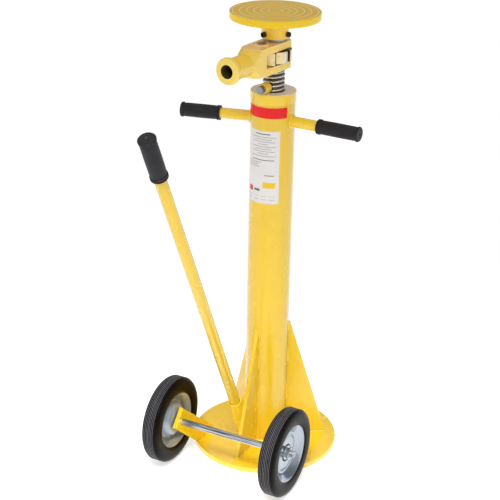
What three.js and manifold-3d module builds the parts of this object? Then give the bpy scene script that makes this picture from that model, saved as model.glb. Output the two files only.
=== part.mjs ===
// A wheeled ratchet screw jack stand: a welded steel column on a round base plate, a large screw that
// a ratchet housing turns to raise a round load plate, two carry handles, two transport wheels on one
// axle, and a removable operating lever stored in a socket on the base.
//
// Millimetres, +Z up the column, origin at the centre of the base plate's underside, +X along the axle,
// wheels on the -Y side.
import * as THREE from 'three';
import { mergeVertices } from 'three/addons/utils/BufferGeometryUtils.js';
import Module from 'manifold-3d';

const wasm = await Module();
wasm.setup();

// ---- driving dimensions ----
const GAP = 0.3;                // left between pieces that touch

const BASE_R = 177;             // 14 inch round base plate
const BASE_T = 12.7;
const COLUMN_R = 50.8;          // 4 inch tube
const COLUMN_WALL = 5;
const COLUMN_TOP = 880;
const CAP_R = 52.4;
const CAP_TOP = 905;
const CAP_ROOF = 12;            // thickness of the cap's flat top

const GUSSET_T = 9.5;
const GUSSET_REACH = 150;
const GUSSET_TOP = 320;
const GUSSET_TOE = 6;           // height of the square end at the foot
const GUSSET_NOSE = 4.5;        // width of the square end at the top
const GUSSET_AZIMUTHS = { front: -90, right: 30, left: 150 };

const SCREW_R = 25.4;           // 2 inch screw
const SCREW_BOTTOM = 545;
const SCREW_SHOULDER = 954;     // where the thread ends and the plain journal starts
const JOURNAL_R = 22.7;
const SPIGOT_R = 17.5;          // plain end that carries the load plate
const SPIGOT_TOP = 1067.5;

const PLATE_R = 102;            // 8 inch load plate
const PLATE_T = 16;
const PLATE_TOP = 1085;
const COLLAR_R = 31;
const COLLAR_BOTTOM = 1026;
const COLLAR_SCREW_Z = 1036;
const COLLAR_SCREW_AZIMUTHS = [-110, -3, 125];

const HOUSING_AZIMUTH = -96.5;  // the way the handle socket points
const HOUSING_BOTTOM = 955;
const HOUSING_TOP = 1019;
const HOUSING_MID = (HOUSING_BOTTOM + HOUSING_TOP) / 2;
const JAW_T = 16.5;
const JAW_R = 37.5;             // rounded rear end of the jaws
const JAW_HALF_WIDTH = 29.2;
const NOSE_HALF_WIDTH = 27.2;   // half width at the end of the block
const NECK_START = 86;          // the block's end is turned to a cone between these two
const NECK_END = 117;
const NECK_R = 43;              // cone's radius at its wide end, just beyond the block's corners
const SLOT_END = 72;
const STUB_R = 25;
const STUB_LENGTH = 185;        // screw axis to handle socket mouth
const STUB_BEAD_R = 30.4;
const SOCKET_R = 15.2;          // bore that takes the lever
const SOCKET_BACK = 100;
const PAWL_PIN_X = 52;
const PAWL_PIN_R = 8;
const PAWL_PIN_BOTTOM = HOUSING_BOTTOM - 7;
const CLIP_Z = HOUSING_BOTTOM - 3.2;
const PIN_BOSS_T = 2.2;          // height of the raised ring round the pin

const GEAR_R = 39.5;
const GEAR_T = 26;
const GEAR_NOTCHES = 6;
const NOTCH_DEPTH = 7;
const NOTCH_ANGLE = 18;         // degrees of rim that each notch takes

const NUT_R = 40;
const NUT_BOTTOM = 848;
const STOP_WASHER_R = 42;
const STOP_WASHER_T = 8;
const STOP_BOLT_R = 8;

const LOCK_AZIMUTH = -94;
const LOCK_Z = 917;
const LOCK_BOSS_R = 12.7;
const LOCK_BOSS = [29, 50];     // distances from the screw's axis, as are the next two
const LOCK_WASHER = [50.3, 52.6];
const LOCK_HEAD = [52.9, 61];
const LOCK_WASHER_R = 9.8;
const LOCK_HEAD_R = 9.3;        // across corners
const LOCK_SHANK_R = 6;
const LOCK_HOLE_R = 6.4;

const HANDLE_Z = 838;
const HANDLE_R = 12.5;          // 1 inch tube
const HANDLE_WALL = 2.5;
const HANDLE_REACHES = { left: 213.5, right: 216 };
const HANDLE_AZIMUTHS = { left: -166.6, right: -2.2 };
const GRIP_STARTS = { left: 122.5, right: 116.5 };
const GRIP_R = 16;
const GRIP_END_T = 3;           // thickness of a grip's closed end

const AXLE_Y = -202.5;
const AXLE_Z = 108.5;
const AXLE_R = 7.9;             // 5/8 inch rod
const AXLE_HALF = 180;
const BRACKET_INNER = 120;
const BRACKET_T = 10;
const WHEEL_X = 154;            // centre plane of each wheel
const TYRE_R = 105;             // 8 inch wheel
const TYRE_HALF_WIDTH = 21.2;
const RIM_R = 68;
const RIM_HALF_WIDTH = 18.2;
const HUB_R = 12.3;
const HUB_INNER = -21;          // ends of the hub tube, measured outward from the wheel's centre plane
const HUB_OUTER = 13;
const HUB_FLANGE_R = 17.5;
const AXLE_WASHER_R = 15;

const LEVER_FOOT = new THREE.Vector3(-23.4, -50.5, BASE_T);
const LEVER_DIRECTION = new THREE.Vector3(0.021, -0.519, 1).normalize();
const LEVER_R = 13.35;          // 3/4 inch pipe
const LEVER_WALL = 2.9;
const LEVER_START = 33.5;       // distances along the lever from its foot point
const LEVER_END = 1045.5;
const LEVER_GRIP_START = 941;
const LEVER_GRIP_R = 18;
const SOCKET_TUBE_R = 17.2;
const SOCKET_TUBE_BORE = 14.1;
const SOCKET_TUBE_TOP = 162.5;

// ---- materials ----
const FINISHES = {
  yellow: { color: 0xf2c62f, roughness: 0.3, metalness: 0.0 },
  cast_yellow: { color: 0xdcb74f, roughness: 0.45, metalness: 0.0 },
  steel: { color: 0x6d6a66, roughness: 0.3, metalness: 0.9 },
  zinc: { color: 0xb9bcc0, roughness: 0.25, metalness: 0.9 },
  black_oxide: { color: 0x1c1b1b, roughness: 0.4, metalness: 0.6 },
  bronze: { color: 0xa8803f, roughness: 0.4, metalness: 0.8 },
  rubber: { color: 0x242326, roughness: 0.6, metalness: 0.0 },
  nylon: { color: 0xd8d6cc, roughness: 0.5, metalness: 0.0 },
};

const material = (finish) => new THREE.MeshStandardMaterial(FINISHES[finish]);

// ---- geometry helpers ----
const deg = THREE.MathUtils.degToRad;

// Keeps only positions, merges shared vertices and drops triangles of no area.
function tidy(geometry) {
  const bare = new THREE.BufferGeometry();
  bare.setAttribute('position', geometry.getAttribute('position').clone());
  if (geometry.index) bare.setIndex(geometry.index.clone());
  const merged = mergeVertices(bare, 1e-4);
  const index = merged.index.array;
  const kept = [];
  for (let i = 0; i < index.length; i += 3) {
    const [a, b, c] = [index[i], index[i + 1], index[i + 2]];
    if (a !== b && b !== c && c !== a) kept.push(a, b, c);
  }
  merged.setIndex(kept);
  return merged;
}

function signedVolume(geometry) {
  const p = geometry.getAttribute('position');
  const index = geometry.index.array;
  const a = new THREE.Vector3();
  const b = new THREE.Vector3();
  const c = new THREE.Vector3();
  let sum = 0;
  for (let i = 0; i < index.length; i += 3) {
    a.fromBufferAttribute(p, index[i]);
    b.fromBufferAttribute(p, index[i + 1]);
    c.fromBufferAttribute(p, index[i + 2]);
    sum += a.dot(b.cross(c));
  }
  return sum / 6;
}

// Tidies a closed geometry and turns its faces outward.
function closed(geometry) {
  const out = tidy(geometry);
  if (signedVolume(out) < 0) out.setIndex(Array.from(out.index.array).reverse());
  return out;
}

// Revolves [radius, height] points about Z. A profile that is open must start and end on the axis.
function turned(points, segments = 48) {
  const profile = points.map(([r, z]) => new THREE.Vector2(r, z));
  return closed(new THREE.LatheGeometry(profile, segments).rotateX(Math.PI / 2));
}

function ring(outer, inner, low, high, segments = 48) {
  return turned([[inner, low], [outer, low], [outer, high], [inner, high], [inner, low]], segments);
}

function rod(radius, low, high, segments = 32) {
  return turned([[0, low], [radius, low], [radius, high], [0, high]], segments);
}

// A cup open at its low end, such as a grip pushed over a tube.
function cup(profile, bore, low, floor) {
  return turned([[bore, low], ...profile, [0, profile.at(-1)[1]], [0, floor], [bore, floor], [bore, low]], 24);
}

// Extrudes an outline of [x, y] points along Z, from low to high.
function slab(points, low, high) {
  const shape = new THREE.Shape(points.map(([x, y]) => new THREE.Vector2(x, y)));
  const geometry = new THREE.ExtrudeGeometry(shape, { depth: high - low, bevelEnabled: false });
  return closed(geometry.translate(0, 0, low));
}

function block(x0, x1, y0, y1, z0, z1) {
  const geometry = new THREE.BoxGeometry(x1 - x0, y1 - y0, z1 - z0);
  return closed(geometry.translate((x0 + x1) / 2, (y0 + y1) / 2, (z0 + z1) / 2));
}

// Turns something built along Z so that it runs along +X.
const alongX = (geometry) => geometry.rotateY(Math.PI / 2);

// Turns something built along Z so that it runs level, outward at an azimuth, at a height.
const radial = (geometry, azimuth, height) =>
  alongX(geometry).rotateZ(deg(azimuth)).translate(0, 0, height);

function toSolid(geometry) {
  const bare = tidy(geometry);
  return new wasm.Manifold(new wasm.Mesh({
    numProp: 3,
    vertProperties: new Float32Array(bare.getAttribute('position').array),
    triVerts: new Uint32Array(bare.index.array),
  }));
}

function toGeometry(solid) {
  const mesh = solid.getMesh();
  const geometry = new THREE.BufferGeometry();
  geometry.setAttribute('position', new THREE.BufferAttribute(new Float32Array(mesh.vertProperties), 3));
  geometry.setIndex(new THREE.BufferAttribute(new Uint32Array(mesh.triVerts), 1));
  return geometry;
}

const combine = (method) => (first, ...rest) =>
  toGeometry(rest.reduce((solid, next) => solid[method](toSolid(next)), toSolid(first)));
const join = combine('add');
const cut = combine('subtract');
const common = combine('intersect');

// ---- scene graph ----
const stand = new THREE.Group();

function place(parent, name, geometry, finish) {
  const shown = geometry.index ? geometry.toNonIndexed() : geometry;
  shown.computeVertexNormals();
  const mesh = new THREE.Mesh(shown, material(finish));
  mesh.name = name;
  parent.add(mesh);
  return mesh;
}

// ---- welded frame ----
const columnCutter = () => rod(COLUMN_R + GAP, -10, 1200, 72);

function basePlate() {
  const chamfer = 1.2;
  return turned([
    [0, 0], [BASE_R - chamfer, 0], [BASE_R, chamfer],
    [BASE_R, BASE_T - chamfer], [BASE_R - chamfer, BASE_T], [0, BASE_T],
  ], 72);
}

function columnTube() {
  return ring(COLUMN_R, COLUMN_R - COLUMN_WALL, BASE_T + GAP, COLUMN_TOP, 48);
}

function gusset() {
  const inner = COLUMN_R + GAP;
  const foot = BASE_T + GAP;
  const outline = [
    [inner, foot], [GUSSET_REACH, foot], [GUSSET_REACH, foot + GUSSET_TOE],
    [inner + GUSSET_NOSE, GUSSET_TOP], [inner, GUSSET_TOP],
  ];
  const plate = slab(outline, -GUSSET_T / 2, GUSSET_T / 2).rotateX(Math.PI / 2);
  return cut(plate, columnCutter());
}

function topCap() {
  const seam = COLUMN_TOP + GAP;
  const chamfer = 1.2;
  const pocket = NUT_R + GAP;
  const throat = SCREW_R + 0.8;
  return turned([
    [throat, CAP_TOP], [CAP_R - chamfer, CAP_TOP], [CAP_R, CAP_TOP - chamfer], [CAP_R, seam],
    [pocket, seam], [pocket, CAP_TOP - CAP_ROOF], [throat, CAP_TOP - CAP_ROOF], [throat, CAP_TOP],
  ], 48);
}

function screwNut() {
  return ring(NUT_R, SCREW_R + 0.4, NUT_BOTTOM, CAP_TOP - CAP_ROOF - GAP, 40);
}

function lockBoss() {
  const floor = CAP_TOP + GAP;
  const boss = radial(ring(LOCK_BOSS_R, LOCK_HOLE_R, ...LOCK_BOSS, 32), LOCK_AZIMUTH, LOCK_Z);
  return cut(boss, block(-80, 80, -80, 80, floor - 40, floor));
}

function carryHandle(side) {
  const tube = ring(HANDLE_R, HANDLE_R - HANDLE_WALL, COLUMN_R - 10, HANDLE_REACHES[side], 32);
  return cut(radial(tube, HANDLE_AZIMUTHS[side], HANDLE_Z), columnCutter());
}

// A rubber grip along Z with a raised ring at each end.
function grip(radius, bore, low, high) {
  const raised = radius + 1.4;
  const band = 7;
  const edge = 1.5;
  return cup([
    [raised - edge, low], [raised, low + edge], [raised, low + band], [radius, low + band + edge],
    [radius, high - band - edge], [raised, high - band], [raised, high - edge], [raised - edge, high],
  ], bore, low, high - GRIP_END_T);
}

function handleGrip(side) {
  const end = HANDLE_REACHES[side] + GAP + GRIP_END_T;
  return radial(grip(GRIP_R, HANDLE_R + GAP, GRIP_STARTS[side], end), HANDLE_AZIMUTHS[side], HANDLE_Z);
}

// A flat bar welded to the base, rising outward to the axle and cut square across at its end.
function wheelBracket(side) {
  const foot = BASE_T + GAP;
  const bar = [[-128, foot], [-50, foot], [-50, foot + 5], [-200, 144.5], [-234, 105]];
  const plate = alongX(slab(bar.map(([y, z]) => [-z, y]), BRACKET_INNER, BRACKET_INNER + BRACKET_T));
  const hole = alongX(rod(AXLE_R + GAP, 0, 300)).translate(0, AXLE_Y, AXLE_Z);
  const bracket = cut(plate, hole);
  return side < 0 ? closed(bracket.scale(-1, 1, 1)) : bracket;
}

function leverSocket() {
  const tube = turned([
    [0, 0], [SOCKET_TUBE_R, 0], [SOCKET_TUBE_R, SOCKET_TUBE_TOP], [SOCKET_TUBE_BORE, SOCKET_TUBE_TOP],
    [SOCKET_TUBE_BORE, LEVER_START - GAP], [0, LEVER_START - GAP],
  ], 32);
  const tilt = new THREE.Quaternion().setFromUnitVectors(new THREE.Vector3(0, 0, 1), LEVER_DIRECTION);
  tube.applyQuaternion(tilt).translate(LEVER_FOOT.x, LEVER_FOOT.y, LEVER_FOOT.z);
  const ground = block(-200, 200, -200, 200, -60, BASE_T + GAP);
  const besideGusset = block(-GUSSET_T / 2 - GAP, GUSSET_T, -200, 0, 0, 400);
  return cut(tube, columnCutter(), ground, besideGusset);
}

place(stand, 'base_plate', basePlate(), 'yellow');
place(stand, 'column_tube', columnTube(), 'yellow');
for (const [name, azimuth] of Object.entries(GUSSET_AZIMUTHS)) {
  place(stand, `gusset_${name}`, gusset(), 'yellow').rotation.z = deg(azimuth);
}
place(stand, 'top_cap', topCap(), 'yellow');
place(stand, 'screw_nut', screwNut(), 'bronze');
place(stand, 'lock_boss', lockBoss(), 'yellow');
for (const side of Object.keys(HANDLE_AZIMUTHS)) {
  place(stand, `carry_handle_${side}`, carryHandle(side), 'yellow');
  place(stand, `handle_grip_${side}`, handleGrip(side), 'rubber');
}
place(stand, 'lever_socket', leverSocket(), 'yellow');

// ---- lock bolt ----
function lockBolt() {
  const shank = rod(LOCK_SHANK_R, SCREW_R + 0.8, LOCK_HEAD[0] + 1);
  const head = closed(new THREE.CylinderGeometry(LOCK_HEAD_R, LOCK_HEAD_R, LOCK_HEAD[1] - LOCK_HEAD[0], 6)
    .rotateX(Math.PI / 2).translate(0, 0, (LOCK_HEAD[0] + LOCK_HEAD[1]) / 2));
  return radial(join(shank, head), LOCK_AZIMUTH, LOCK_Z);
}

place(stand, 'lock_bolt', lockBolt(), 'zinc');
place(stand, 'lock_washer',
  radial(ring(LOCK_WASHER_R, LOCK_HOLE_R, ...LOCK_WASHER, 32), LOCK_AZIMUTH, LOCK_Z), 'zinc');

// ---- axle and wheels ----
const COTTER_X = WHEEL_X + 19.6;
const COTTER_R = 1.8;

function axle() {
  const bar = alongX(rod(AXLE_R, -AXLE_HALF, AXLE_HALF, 32));
  const holes = [-COTTER_X, COTTER_X].map((x) => rod(COTTER_R + GAP, -20, 20, 12).translate(x, 0, 0));
  return cut(bar, ...holes).translate(0, AXLE_Y, AXLE_Z);
}

// A split pin: a straight shank through the axle with a round eye above it.
function cotterPin() {
  const eye = 4;
  const wire = 1.5;
  const shank = rod(COTTER_R, -AXLE_R - 5, AXLE_R + 2, 12);
  const loop = new THREE.TorusGeometry(eye, wire, 6, 14).rotateY(Math.PI / 2);
  return join(shank, closed(loop.translate(0, 0, AXLE_R + 1 + eye)));
}

// Solid rubber tyre: flat tread, rounded shoulders, and a foot that fills the channel of the rim.
function tyre() {
  const half = [
    [53.4, 4.6], [60, 10], [RIM_R + 0.5, 16.2], [RIM_R + 0.6, RIM_HALF_WIDTH],
    [84, TYRE_HALF_WIDTH], [97, 20.2], [102.5, 17.4], [TYRE_R, 12],
  ];
  const mirrored = half.map(([r, l]) => [r, -l]).reverse();
  return turned([...half, ...mirrored, half[0]], 44);
}

const RIM_T = 1.8;
const RIM_LIP = RIM_HALF_WIDTH - RIM_T;

// Closes a pressed-sheet profile by coming back along it, one thickness to the given side.
function pressed(points, side) {
  const back = points.map(([r, l]) => [r, l + side * RIM_T]).reverse();
  return turned([...points, ...back, points[0]], 32);
}

// Outer half: raised flat centre with a clear hole round the hub, flaring out to the rim's lip.
const rimOuter = () => pressed([
  [21, 3.4], [38, 3.4], [46, 0.6], [50, 2], [53, 5.2], [60, 10.6], [RIM_R, RIM_LIP],
], 1);

// Inner half: a dome round the hub, a flat seat against the outer half, then the same flare.
const rimInner = () => pressed([
  [HUB_R + GAP, -18.8], [24, -18.2], [37, -13.6], [45, -0.2], [50, -1.6],
  [53, -5.2], [60, -10.6], [RIM_R, -RIM_LIP],
], -1);

// Hub tube with a flange that shows in the hole of the outer half.
const hubTube = () => turned([
  [10.3, HUB_INNER], [HUB_R, HUB_INNER], [HUB_R, 3.6], [HUB_FLANGE_R, 3.6], [HUB_FLANGE_R, 6], [HUB_R, 6],
  [HUB_R, HUB_OUTER], [10.3, HUB_OUTER], [10.3, HUB_INNER],
], 24);

const hubBush = () => ring(10, AXLE_R + GAP, HUB_INNER, HUB_OUTER, 20);
const BRACKET_OUTER = BRACKET_INNER + BRACKET_T - WHEEL_X;
const innerWasher = () => ring(AXLE_WASHER_R, AXLE_R + GAP, BRACKET_OUTER + GAP, HUB_INNER - GAP, 24);
const outerWasher = () => ring(AXLE_WASHER_R, AXLE_R + GAP, HUB_OUTER + 0.4, HUB_OUTER + 2.8, 24);

for (const [side, sign] of [['left', -1], ['right', 1]]) {
  place(stand, `wheel_bracket_${side}`, wheelBracket(sign), 'yellow');
  const wheel = new THREE.Group();
  wheel.position.set(sign * WHEEL_X, AXLE_Y, AXLE_Z);
  wheel.rotation.y = sign * Math.PI / 2;
  stand.add(wheel);
  place(wheel, `tyre_${side}`, tyre(), 'rubber');
  place(wheel, `rim_outer_${side}`, rimOuter(), 'zinc');
  place(wheel, `rim_inner_${side}`, rimInner(), 'zinc');
  place(wheel, `hub_tube_${side}`, hubTube(), 'zinc');
  place(wheel, `hub_bush_${side}`, hubBush(), 'nylon');
  place(wheel, `axle_washer_inner_${side}`, innerWasher(), 'zinc');
  place(wheel, `axle_washer_outer_${side}`, outerWasher(), 'zinc');
  place(stand, `cotter_pin_${side}`, cotterPin(), 'zinc')
    .position.set(sign * COTTER_X, AXLE_Y, AXLE_Z);
}
place(stand, 'axle', axle(), 'zinc');

// ---- operating lever, stored in its socket ----
const lever = new THREE.Group();
lever.position.copy(LEVER_FOOT);
lever.quaternion.setFromUnitVectors(new THREE.Vector3(0, 0, 1), LEVER_DIRECTION);
stand.add(lever);
place(lever, 'lever_tube', ring(LEVER_R, LEVER_R - LEVER_WALL, LEVER_START, LEVER_END, 32), 'yellow');
place(lever, 'lever_grip',
  grip(LEVER_GRIP_R, LEVER_R + GAP, LEVER_GRIP_START, LEVER_END + GAP + GRIP_END_T), 'rubber');

// ---- screw, ratchet wheel and key ----
const GEAR_LOW = HOUSING_MID - GEAR_T / 2;
const GEAR_HIGH = HOUSING_MID + GEAR_T / 2;
const KEY_HALF = 4;
const KEY_IN = 19;
const KEY_OUT = 26.5;

const keyBar = (slack) => block(
  KEY_IN - slack, KEY_OUT + slack, -KEY_HALF - slack, KEY_HALF + slack,
  GEAR_LOW + 1 - slack, GEAR_HIGH - 1 + slack,
).rotateZ(deg(90));

function liftScrew() {
  const chamfer = 2;
  const body = turned([
    [0, SCREW_BOTTOM], [SCREW_R - chamfer, SCREW_BOTTOM], [SCREW_R, SCREW_BOTTOM + chamfer],
    [SCREW_R, SCREW_SHOULDER], [JOURNAL_R, SCREW_SHOULDER], [JOURNAL_R, HOUSING_TOP - 0.5],
    [SPIGOT_R, HOUSING_TOP - 0.5], [SPIGOT_R, SPIGOT_TOP], [0, SPIGOT_TOP],
  ], 48);
  const boltHole = rod(STOP_BOLT_R + GAP, SCREW_BOTTOM - 5, SCREW_BOTTOM + 40, 24);
  return cut(body, keyBar(GAP), boltHole);
}

// Ratchet wheel: a plain rim with square notches, so that the pawl can drive it either way.
function ratchetWheel() {
  const pitch = 360 / GEAR_NOTCHES;
  const arcSteps = 5;
  const outline = [];
  for (let i = 0; i < GEAR_NOTCHES; i += 1) {
    const start = HOUSING_AZIMUTH + 30 + pitch * i + NOTCH_ANGLE / 2;
    const land = pitch - NOTCH_ANGLE;
    for (let k = 0; k <= arcSteps; k += 1) {
      const a = deg(start + land * k / arcSteps);
      outline.push([GEAR_R * Math.cos(a), GEAR_R * Math.sin(a)]);
    }
    const root = GEAR_R - NOTCH_DEPTH;
    for (const edge of [2, NOTCH_ANGLE - 2]) {
      const a = deg(start + land + edge);
      outline.push([root * Math.cos(a), root * Math.sin(a)]);
    }
  }
  const bore = rod(JOURNAL_R + GAP, GEAR_LOW - 5, GEAR_HIGH + 5, 48);
  const keyway = block(0, KEY_OUT + GAP, -KEY_HALF - GAP, KEY_HALF + GAP, GEAR_LOW - 5, GEAR_HIGH + 5)
    .rotateZ(deg(90));
  return cut(slab(outline, GEAR_LOW, GEAR_HIGH), bore, keyway);
}

function stopBolt() {
  const headR = 13.8;
  const headT = 10;
  const seat = SCREW_BOTTOM - STOP_WASHER_T - 2 * GAP;
  const head = closed(new THREE.CylinderGeometry(headR, headR, headT, 6)
    .rotateX(Math.PI / 2).translate(0, 0, seat - headT / 2));
  return join(rod(STOP_BOLT_R, seat - headT / 2, SCREW_BOTTOM + 32, 24), head);
}

place(stand, 'lift_screw', liftScrew(), 'steel');
place(stand, 'ratchet_wheel', ratchetWheel(), 'cast_yellow');
place(stand, 'wheel_key', keyBar(0), 'steel');
place(stand, 'stop_washer',
  ring(STOP_WASHER_R, STOP_BOLT_R + GAP, SCREW_BOTTOM - STOP_WASHER_T - GAP, SCREW_BOTTOM - GAP), 'steel');
place(stand, 'stop_bolt', stopBolt(), 'steel');

// ---- ratchet housing and pawl, in a frame whose +X runs along the handle socket ----
const housing = new THREE.Group();
housing.rotation.z = deg(HOUSING_AZIMUTH);
stand.add(housing);

function jawOutline() {
  const rear = [];
  const corner = Math.acos(-Math.sqrt(JAW_R ** 2 - JAW_HALF_WIDTH ** 2) / JAW_R);
  const steps = 12;
  for (let i = 0; i <= steps; i += 1) {
    const a = corner + (2 * Math.PI - 2 * corner) * i / steps;
    rear.push([JAW_R * Math.cos(a), JAW_R * Math.sin(a)]);
  }
  return [...rear, [NECK_END, -NOSE_HALF_WIDTH], [NECK_END, NOSE_HALF_WIDTH]];
}

// The jaw block: a straight bar whose front end is turned down to meet the round handle socket.
function jaws() {
  const clear = 60;
  const turning = turned([
    [0, -clear], [clear, -clear], [clear, NECK_START], [NECK_R, NECK_START], [STUB_R, NECK_END], [0, NECK_END],
  ], 48);
  return common(slab(jawOutline(), HOUSING_BOTTOM, HOUSING_TOP), alongX(turning).translate(0, 0, HOUSING_MID));
}

// Socket tube with a rolled bead at its mouth.
function stub() {
  const mouth = STUB_LENGTH;
  return alongX(turned([
    [0, NECK_START], [STUB_R - GAP, NECK_START], [STUB_R, mouth - 22], [STUB_R + 1.8, mouth - 17],
    [STUB_BEAD_R - 0.8, mouth - 12], [STUB_BEAD_R, mouth - 8], [STUB_BEAD_R - 0.6, mouth - 3],
    [STUB_BEAD_R - 3, mouth], [SOCKET_R, mouth], [SOCKET_R, SOCKET_BACK], [0, SOCKET_BACK],
  ], 32)).translate(0, 0, HOUSING_MID);
}

const PLUNGER_R = 5;

function ratchetHousing() {
  const pinBoss = rod(16, HOUSING_TOP - 5, HOUSING_TOP + PIN_BOSS_T, 32).translate(PAWL_PIN_X, 0, 0);
  const socketBore = alongX(rod(SOCKET_R, SOCKET_BACK, STUB_LENGTH + 5, 32)).translate(0, 0, HOUSING_MID);
  const slot = block(-60, SLOT_END, -60, 60, HOUSING_BOTTOM + JAW_T, HOUSING_TOP - JAW_T);
  const journalHole = rod(JOURNAL_R + GAP, HOUSING_BOTTOM - 5, HOUSING_TOP + 5, 48);
  const pinHole = rod(PAWL_PIN_R + GAP, HOUSING_BOTTOM - 5, HOUSING_TOP + 5, 32).translate(PAWL_PIN_X, 0, 0);
  const plungerBore = alongX(rod(PLUNGER_R + GAP, SLOT_END - 5, SOCKET_BACK - 4, 20))
    .translate(0, 0, HOUSING_MID);
  const body = join(jaws(), pinBoss, stub());
  return cut(body, socketBore, slot, journalHole, pinHole, plungerBore);
}

// A rocker with a nose on each side, drawn for one side and mirrored for the other.
function pawl() {
  const half = [
    [65, 0], [64, 6.5], [60.5, 11.5], [52, 15.5], [46.4, 24.4], [40.6, 29.2],
    [34.9, 22.6], [42.2, 19.5], [41.6, 0],
  ];
  const mirrored = half.slice(1, -1).map(([x, y]) => [x, -y]).reverse();
  const low = HOUSING_BOTTOM + JAW_T + 2;
  const high = HOUSING_TOP - JAW_T - 2;
  const bore = rod(PAWL_PIN_R + GAP, low - 5, high + 5, 32).translate(PAWL_PIN_X, 0, 0);
  return cut(slab([...half, ...mirrored], low, high), bore);
}

const CLIP_WIRE_R = 1.6;

function pawlPin() {
  const headR = 10.4;
  const deck = HOUSING_TOP + PIN_BOSS_T + GAP;
  const pin = turned([
    [0, PAWL_PIN_BOTTOM], [PAWL_PIN_R, PAWL_PIN_BOTTOM], [PAWL_PIN_R, deck], [headR, deck],
    [headR, deck + 1.2], [headR - 1, deck + 2], [0, deck + 2],
  ], 32);
  const hole = alongX(rod(CLIP_WIRE_R + GAP, -20, 20, 12)).translate(0, 0, CLIP_Z);
  return cut(pin, hole).translate(PAWL_PIN_X, 0, 0);
}

// A wire clip through the pin's lower end, with an eye beside it.
function pawlPinClip() {
  const wire = alongX(rod(CLIP_WIRE_R, -11, 11, 12));
  const eye = closed(new THREE.TorusGeometry(3.4, 1.3, 6, 14).translate(13.4, 0, 0));
  return join(wire, eye).translate(PAWL_PIN_X, 0, CLIP_Z);
}

// Spring-loaded plunger that holds the pawl to one side or the other.
const plunger = () => alongX(turned([
  [0, 65.4], [2.6, 66.2], [PLUNGER_R - 0.4, 69], [PLUNGER_R - 0.1, 71], [PLUNGER_R - 0.1, 84], [0, 84],
], 20)).translate(0, 0, HOUSING_MID);

const pawlSpring = () => alongX(ring(PLUNGER_R - 0.3, PLUNGER_R - 1.7, 84.3, SOCKET_BACK - 4.3, 20))
  .translate(0, 0, HOUSING_MID);

place(housing, 'ratchet_housing', ratchetHousing(), 'cast_yellow');
place(housing, 'pawl', pawl(), 'steel');
place(housing, 'pawl_pin', pawlPin(), 'zinc');
place(housing, 'pawl_pin_clip', pawlPinClip(), 'zinc');
place(housing, 'pawl_plunger', plunger(), 'steel');
place(housing, 'pawl_spring', pawlSpring(), 'steel');

// ---- load plate ----
const WASHER = [HOUSING_TOP + GAP, COLLAR_BOTTOM - GAP];
const SCREW_SHANK_R = 3.9;

function loadPlate() {
  const chamfer = 1.4;
  const low = PLATE_TOP - PLATE_T;
  return turned([
    [0, low], [PLATE_R - chamfer, low], [PLATE_R, low + chamfer],
    [PLATE_R, PLATE_TOP - chamfer], [PLATE_R - chamfer, PLATE_TOP], [0, PLATE_TOP],
  ], 72);
}

function plateCollar() {
  const collar = ring(COLLAR_R, SPIGOT_R + GAP, COLLAR_BOTTOM, PLATE_TOP - PLATE_T - GAP, 48);
  const holes = COLLAR_SCREW_AZIMUTHS.map((azimuth) =>
    radial(rod(SCREW_SHANK_R + GAP, 10, 50, 12), azimuth, COLLAR_SCREW_Z));
  return cut(collar, ...holes);
}

function collarScrew(azimuth) {
  const head = COLLAR_R + GAP;
  return radial(turned([
    [0, SPIGOT_R + GAP], [SCREW_SHANK_R, SPIGOT_R + GAP], [SCREW_SHANK_R, head], [6.2, head],
    [6.2, head + 6.4], [5.6, head + 7], [3.2, head + 7], [3.2, head + 3.4], [0, head + 3.4],
  ], 16), azimuth, COLLAR_SCREW_Z);
}

place(stand, 'thrust_washer', ring(25, SPIGOT_R + GAP, ...WASHER), 'zinc');
place(stand, 'load_plate', loadPlate(), 'yellow');
place(stand, 'plate_collar', plateCollar(), 'yellow');
COLLAR_SCREW_AZIMUTHS.forEach((azimuth, i) => {
  place(stand, `collar_screw_${i + 1}`, collarScrew(azimuth), 'black_oxide');
});

export default stand;
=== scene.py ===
import math

import bmesh
import bpy
from mathutils import Matrix, Vector, noise


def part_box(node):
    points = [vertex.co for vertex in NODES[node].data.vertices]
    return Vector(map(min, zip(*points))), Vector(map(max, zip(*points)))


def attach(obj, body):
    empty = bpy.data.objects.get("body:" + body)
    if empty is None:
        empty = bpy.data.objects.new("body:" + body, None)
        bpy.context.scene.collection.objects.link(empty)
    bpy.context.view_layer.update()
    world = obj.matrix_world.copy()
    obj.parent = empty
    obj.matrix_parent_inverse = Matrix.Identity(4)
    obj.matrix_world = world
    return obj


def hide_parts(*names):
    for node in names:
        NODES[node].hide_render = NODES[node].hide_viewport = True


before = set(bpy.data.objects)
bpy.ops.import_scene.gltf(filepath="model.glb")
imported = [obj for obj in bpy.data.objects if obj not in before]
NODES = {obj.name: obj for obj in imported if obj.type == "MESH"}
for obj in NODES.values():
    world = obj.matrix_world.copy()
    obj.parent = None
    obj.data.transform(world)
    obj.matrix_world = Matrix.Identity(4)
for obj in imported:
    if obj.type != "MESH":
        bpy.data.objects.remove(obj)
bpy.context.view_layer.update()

# Geometry helpers take millimetres; Blender's own units are metres.
MM = 0.001


def span(node, axis):
    """Lowest and highest coordinate of a CAD node along axis 0, 1 or 2, in millimetres."""
    low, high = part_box(node)
    return low[axis] / MM, high[axis] / MM


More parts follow.
